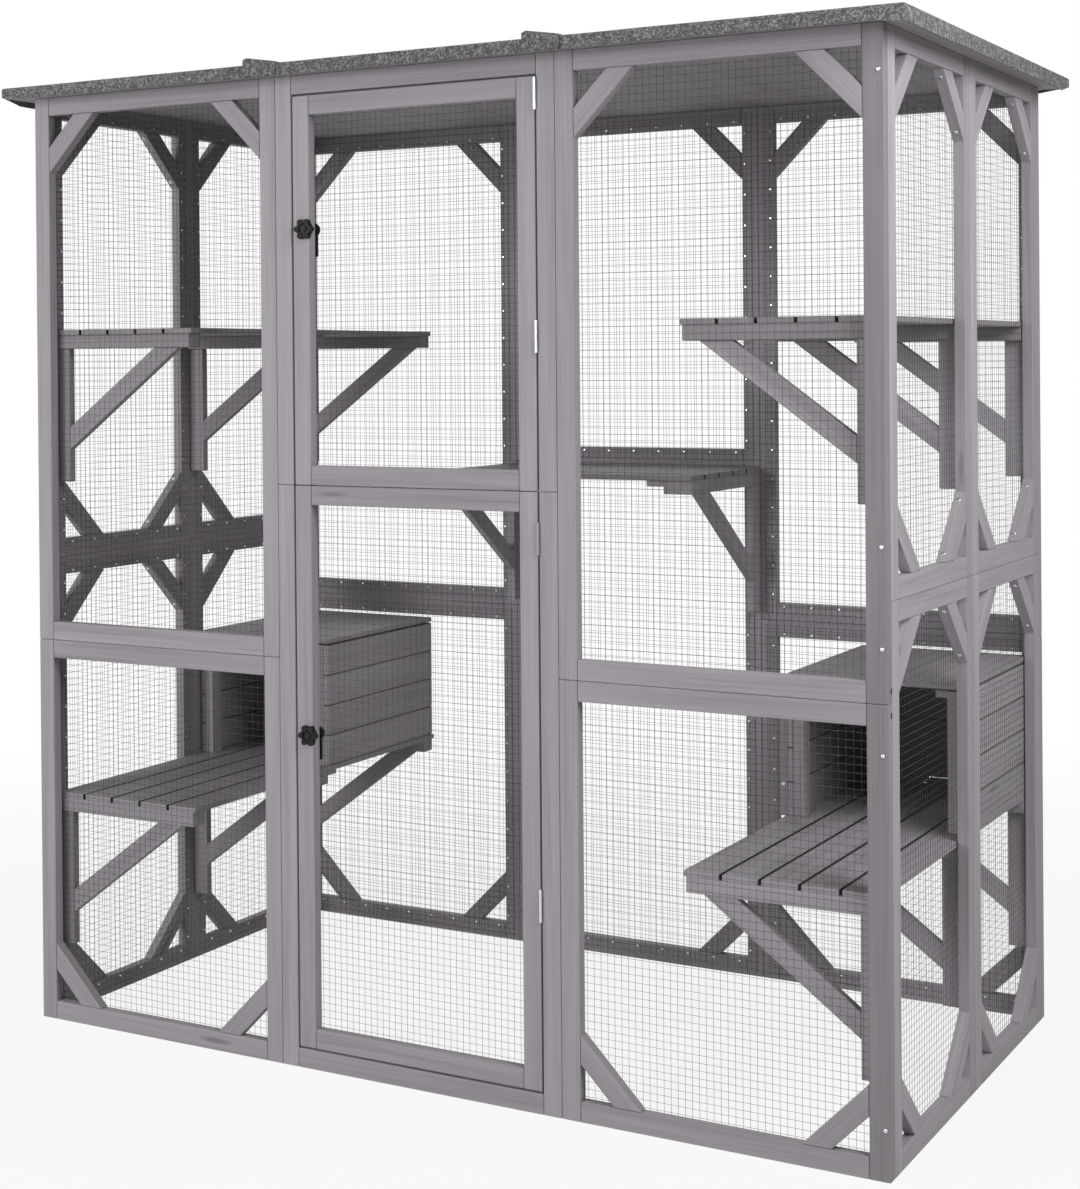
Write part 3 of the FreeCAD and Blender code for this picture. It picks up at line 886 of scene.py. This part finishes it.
def latchBar(low, high, barFront, x, z):
    half = latch["bar"]["width"] / 2
    bar = block((x - half, barFront, low.z), (x + half, high.y, z))
    roundEdges(bar, lambda a, b: max(a.z, b.z) < low.z + fine and abs(a.x - b.x) > coarse, latch["bar"]["round"], 2)
    pickFaces(bar, lambda centre, normal: normal.y > 0.99)
    insetStep(*latch["barDish"])
    setMode("OBJECT")
    return bar


def latchKnob(node):
    low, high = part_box(node)
    x = (low.x + high.x) / 2
    z = high.z - latch["lobe"]["circle"] * math.sin(math.pi / 3) - latch["lobe"]["radius"]
    front, back = low.y, low.y + latch["thickness"]
    radius, setBack, sides = latch["hub"].values()
    hub = rod((x, front + setBack, z), 1, radius, latch["thickness"] - setBack, sides)
    roundEdges(hub, lambda a, b: max(a.y, b.y) < front + setBack + fine, latch["round"], 2)
    pickFaces(hub, lambda centre, normal: normal.y < -0.99)
    insetStep(*latch["dish"])
    insetStep(*latch["boss"])
    setMode("OBJECT")
    turns = [math.tau * i / latch["lobes"] for i in range(latch["lobes"])]
    places = [Matrix.Translation((x, 0, z)) @ Matrix.Rotation(turn, 4, "Y") for turn in turns]
    parts = [hub] + placeCopies(latchLobe(front), places)
    barFront = high.y - latch["bar"]["thickness"]
    radius, sides = latch["spindle"]
    parts.append(rod((x, back, z), 1, radius, barFront - back, sides))
    radius, sides = latch["inner"]
    inner = rod((x, barFront, z), 1, radius, latch["bar"]["thickness"], sides)
    roundEdges(inner, lambda a, b: abs(a.y - b.y) < fine, latch["round"], 2)
    setMode("OBJECT")
    return parts + [inner, latchBar(low, high, barFront, x, z)]


for level in ("lower", "upper"):
    node = level + "_latch_turn"
    knob = assemble(level + "LatchKnob", latchKnob(node), nylon, level + "_latch", "black_plastic", node)
    activate(knob)
    smooth(latch["smooth"])
print("roof and hardware made")

# shelves: slats over beams; the given tones set how light the slats are drawn, as painted light and shade, and
# looseTone spreads them at random
shelf = {
    "slats": 5, "gap": 4.5 * mm, "slat": 10 * mm, "beamHeight": 26 * mm, "beamWidth": 35 * mm,
    "inset": 5 * mm, "battenWidth": 30 * mm, "battenHeight": 10 * mm, "looseTone": 0.08,
    "highShelfPaintedShade": {"left": 0.0, "right": 0.12}, "platformPaintedLightAndShade": {"left": 0.45, "right": 0.95},
}


def slatStarts(low, high):
    # the places of the slats between two edges, and their width
    width = (high - low - (shelf["slats"] - 1) * shelf["gap"]) / shelf["slats"]
    return [low + index * (width + shelf["gap"]) for index in range(shelf["slats"])], width


def slatSeams(axis, place, width, places):
    # painted shade on the faces where a slat meets its neighbours
    return [(axis, place, 1)] * (place > places[0]) + [(axis, place + width, 1)] * (place < places[-1])


def sideShelf(node, battened, tone):
    low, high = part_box(node)
    outerIsHigh = high.x > 0
    underside = high.z - shelf["slat"]
    sticks = []
    places, width = slatStarts(low.x, high.x)
    for x in places:
        slatTone = tone + random.uniform(-shelf["looseTone"], shelf["looseTone"])
        seams = slatSeams(0, x, width, places)
        sticks.append(board((x, low.y, underside), (x + width, high.y, high.z), 1, seams=seams, tone=slatTone))
    left = low.x + (shelf["inset"] if outerIsHigh else 0)
    right = high.x - (0 if outerIsHigh else shelf["inset"])
    half = shelf["beamWidth"] / 2
    foot = underside - shelf["beamHeight"]
    for y in (low.y, -half, high.y - shelf["beamWidth"]):
        sticks.append(board((left, y, foot), (right, y + shelf["beamWidth"], underside), 0, tone=tone))
    if battened:
        corner = (left, half, underside - shelf["battenHeight"])
        sticks.append(board(corner, (right, half + shelf["battenWidth"], underside), 0))
    return sticks


for side in ("left", "right"):
    node = "upper_" + side + "_shelf"
    wooden(side + "HighShelf", sideShelf(node, False, shelf["highShelfPaintedShade"][side]), node)
    node = "lower_" + side + "_platform"
    wooden(side + "Platform", sideShelf(node, True, shelf["platformPaintedLightAndShade"][side]), node)

# the back shelf's slats are drawn dark: painted shade
middleShelf = {"endBeam": 60 * mm, "batten": 36 * mm, "battenHeight": 12 * mm, "tone": 0.2}
low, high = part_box("middle_shelf")
underside = high.z - shelf["slat"]
places, width = slatStarts(low.y, high.y)
sticks = []
for y in places:
    seams = slatSeams(1, y, width, places)
    sticks.append(board(
        (low.x, y, underside), (high.x, y + width, high.z), 0, seams=seams, tone=middleShelf["tone"]))
front = low.y + shelf["inset"]
battenRight = high.x - middleShelf["endBeam"]
for x in (low.x, battenRight):
    corner = (x, front, underside - shelf["beamHeight"])
    sticks.append(board(corner, (x + middleShelf["endBeam"], high.y, underside), 1))
corner = (battenRight - middleShelf["batten"], front, underside - middleShelf["battenHeight"])
sticks.append(board(corner, (battenRight, high.y, underside), 1))
wooden("backShelf", sticks, "middle_shelf")
print("shelves made")

# brackets: a leg on the wall and a slanted strut
bracket = {
    "leg": 258 * mm, "drop": 195 * mm, "reach": 303 * mm, "thickness": 15 * mm, "spare": (50 * mm, 60 * mm),
    # tones: the left brackets drawn darker as painted shade; the right ones get a random tone
    "tones": {-1: 0.3, 1: None},
}


def bracketSticks(wallPoint, inward, across, tone=None):
    # wallPoint: top of the leg at the wall, at the middle of the bracket's thickness
    wallPoint, inward, across = Vector(wallPoint), Vector(inward), Vector(across)
    half = across * bracket["thickness"] / 2
    legInside = wallPoint + inward * stick["width"]
    low, high = spanOf((wallPoint - half, wallPoint + half, legInside - half, legInside + half))
    low.z = wallPoint.z - bracket["leg"]
    leg = board(low, high, 2, tone=tone)
    # the strut's lower edge runs from the leg, one drop down, to the shelf, one reach in
    foot = legInside - axisVector(2, bracket["drop"])
    tip = wallPoint + inward * bracket["reach"]
    along = (tip - foot).normalized()
    up = across.cross(along).normalized()
    if up.z < 0:
        up = -up
    rise = up * stick["width"] / 2
    # drawn long at both ends and cut at the leg and under the shelf
    start, end = foot + rise - along * bracket["spare"][0], tip + rise + along * bracket["spare"][1]
    cuts = ((legInside, -inward), (wallPoint, (0, 0, 1)))
    return [leg, slantedStick(start, end, across, bracket["thickness"], cuts, tone)]


half = bracket["thickness"] / 2
for side, sign in (("left", -1), ("right", 1)):
    for name, level in (("HighBrackets", "upper_"), ("LowBrackets", "lower_")):
        node = level + side + "_brackets"
        low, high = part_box(node)
        wall = high.x if sign > 0 else low.x
        sticks = []
        for y in (low.y + half, 0, high.y - half):
            sticks += bracketSticks((wall, y, high.z), (-sign, 0, 0), (0, 1, 0), bracket["tones"][sign])
        wooden(side + name, sticks, node)
low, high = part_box("middle_shelf_brackets")
sticks = []
for x in (low.x + half, high.x - half):
    sticks += bracketSticks((x, high.y, high.z), (0, -1, 0), (1, 0, 0))
wooden("backShelfBrackets", sticks, "middle_shelf_brackets")
print("brackets made")

# sleeping boxes: planks with grooves darkened by painted shade, front posts with blocks behind their tops, and a lid
# with painted shade on its underside
house = {
    "planks": 4, "wall": 12 * mm, "postWidth": 20 * mm, "postDepth": 30 * mm, "groove": 2.6 * mm, "seam": 0.6,
    "tones": (0.75, 0.98), "backPlankPaintedShade": 0.05, "lidGap": 2.2 * mm, "lidTone": 0.8, "block": (24 * mm, 20 * mm, 14 * mm),
    "cleat": (15 * mm, 26 * mm), "cleatScrew": 58 * mm,
    "pin": {"length": 34 * mm, "radius": 0.9 * mm, "sides": 10, "head": 2.4 * mm, "height": 94 * mm, "depth": 0.3},
}
for side in ("left", "right"):
    low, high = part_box(side + "_house_walls")
    plank = (high.z - low.z) / house["planks"]
    wall = house["wall"]
    sticks = []
    for index in range(house["planks"]):
        z, top = low.z + index * plank, low.z + index * plank + plank
        seams = [(2, z, house["seam"])] * (index > 0) + [(2, top, house["seam"])]
        tone = random.uniform(*house["tones"])
        for x in (low.x, high.x - wall):
            sticks.append(board((x, low.y, z), (x + wall, high.y, top), 1, house["groove"], seams, tone))
        back, far = (low.x + wall, high.y - wall, z), (high.x - wall, high.y, top)
        # the back planks are drawn nearly black: painted shade inside the box
        sticks.append(board(back, far, 0, house["groove"], seams, house["backPlankPaintedShade"]))
    blockX, blockY, blockZ = house["block"]
    postBack = low.y + house["postDepth"]
    postLeft, postRight = low.x + wall, high.x - wall - house["postWidth"]
    for x, blockLow in ((postLeft, postLeft + house["postWidth"]), (postRight, postRight - blockX)):
        sticks.append(board((x, low.y, low.z), (x + house["postWidth"], postBack, high.z), 2))
        corner = (blockLow, postBack - blockY, high.z - blockZ)
        sticks.append(board(corner, (blockLow + blockX, postBack, high.z), 0))
    if side == "right":
        # a cleat covers the joint of the inner front corner
        cleatX, cleatY = house["cleat"]
        sticks.append(board((low.x - cleatX, low.y, low.z), (low.x, low.y + cleatY, high.z), 2))
    wooden(side + "SleepingBox", sticks, side + "_house_walls")
    low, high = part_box(side + "_house_roof")
    low.z += house["lidGap"]
    # painted shade on the lid's underside, over the walls
    lid = board(low, high, 1, seams=[(2, low.z, 1)], tone=house["lidTone"])
    wooden(side + "SleepingBoxLid", [lid], side + "_house_roof")

# a bright pin in the outer post of the right box, and the screw of its cleat
low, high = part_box("right_house_walls")
length, radius, sides, headRadius, height, depth = house["pin"].values()
start = Vector((
    high.x - house["wall"] - house["postWidth"] - length, low.y + house["postDepth"] * depth, low.z + height))
shank = rod(start, 0, radius, length, sides)
deselect()
bpy.ops.mesh.primitive_uv_sphere_add(segments=16, ring_count=8, radius=headRadius, location=start)
applyPlace()
pinHead = bpy.context.object
setMode("EDIT")
cutAll(start + axisVector(0, headRadius / 2), axisVector(0), use_fill=True, clear_outer=True)
setMode("OBJECT")
cleatPoint = Vector((low.x - house["cleat"][0] / 2, low.y, low.z + house["cleatScrew"]))
cleatScrews = placeCopies(fastenerHead("screw"), [facing(cleatPoint, (0, -1, 0))])
assemble("rightBoxPin", [shank, pinHead] + cleatScrews, zinc, "root", "zinc_steel")
print("sleeping boxes made")

# floor, world, lights and camera; near the object the floor keeps its shadow, further out it is plain white
studio = {
    "floorSize": 24.0, "floorColour": "#D2D2D2", "floorRoughness": 0.9, "clear": (1.4, 3.4), "floorGlow": 0.88,
    "ambient": 0.08,
}
lights = {
    "keyFrontLeft": {"place": (-2.4, -4.3, 1.9), "target": (-0.2, -0.4, 0.8), "size": 2.2, "power": 130.0},
    "sideRight": {"place": (2.5, -1.0, 2.4), "target": (0.8, 0, 0.9), "size": 1.4, "power": 57.0},
    "topSoft": {"place": (-0.4, 0.2, 4.8), "target": (0, 0, 1.0), "size": 2.4, "power": 60.0},
    "backFill": {"place": (-2.0, 4.2, 2.2), "target": (0, 0.4, 0.9), "size": 2.4, "power": 46.0},
}


def whiteToCamera(tree, litShader, share, output):
    # camera, mirror and glass rays see white, in the given share; other light stays as it is
    rays = addNode(tree, "ShaderNodeLightPath", {}).outputs
    seen = calculated(tree, "MAXIMUM", rays["Is Camera Ray"], rays["Is Glossy Ray"])
    seen = calculated(tree, "MAXIMUM", seen, rays["Is Transmission Ray"])
    part = calculated(tree, "MULTIPLY", seen, share)
    glow = addNode(tree, "ShaderNodeEmission", {"Color": (1, 1, 1, 1), "Strength": 1.0}).outputs[0]
    mix = addNode(tree, "ShaderNodeMixShader", {0: part, 1: litShader, 2: glow}).outputs[0]
    tree.links.new(mix, output.inputs["Surface"])


deselect()
bpy.ops.mesh.primitive_plane_add(size=studio["floorSize"], location=(0, 0, 0))
floor = bpy.context.object
floor.name = "studioFloor"
floorMaterial, tree, shader = newMaterial("whiteStudioFloor", Roughness=studio["floorRoughness"])
shader.inputs["Base Color"].default_value = linear(studio["floorColour"])
distance = addNode(tree, "ShaderNodeVectorMath", {0: objectPlace(tree)}, operation="LENGTH").outputs["Value"]
share = mapped(tree, distance, *studio["clear"], studio["floorGlow"], 1.0)
whiteToCamera(tree, shader.outputs[0], share, tree.nodes["Material Output"])
floor.data.materials.append(floorMaterial)

world = bpy.data.worlds.new("studio")
bpy.context.scene.world = world
world.use_nodes = True
background = world.node_tree.nodes["Background"]
background.inputs["Color"].default_value = (1, 1, 1, 1)
background.inputs["Strength"].default_value = studio["ambient"]
whiteToCamera(world.node_tree, background.outputs[0], 1.0, world.node_tree.nodes["World Output"])

for name, settings in lights.items():
    place, target = Vector(settings["place"]), Vector(settings["target"])
    bpy.ops.object.light_add(type="AREA", location=place)
    light = bpy.context.object
    light.name = name
    light.data.size = settings["size"]
    light.data.energy = settings["power"]
    light.rotation_euler = (target - place).to_track_quat("-Z", "Y").to_euler()

# the camera fitted to the photograph; angles in degrees
shot = {
    "place": (1.884, -3.398, 1.265), "yaw": 28.882, "pitch": 0.364, "roll": -0.459, "lens": 61.073,
    "shift": -0.1857, "sensor": 36,
}
yaw, pitch, roll = (math.radians(shot[key]) for key in ("yaw", "pitch", "roll"))
forward = Vector((-math.sin(yaw) * math.cos(pitch), math.cos(yaw) * math.cos(pitch), -math.sin(pitch)))
right = Vector((math.cos(yaw), math.sin(yaw), 0))
up = right.cross(forward)
rightTilted = right * math.cos(roll) + up * math.sin(roll)
upTilted = up * math.cos(roll) - right * math.sin(roll)
bpy.ops.object.camera_add(location=shot["place"])
camera = bpy.context.object
camera.rotation_euler = Matrix((rightTilted, upTilted, -forward)).transposed().to_euler()
camera.data.lens = shot["lens"]
camera.data.sensor_width = shot["sensor"]
camera.data.shift_y = shot["shift"]
bpy.context.scene.camera = camera
bpy.context.scene.view_settings.view_transform = "Standard"
print("studio made")
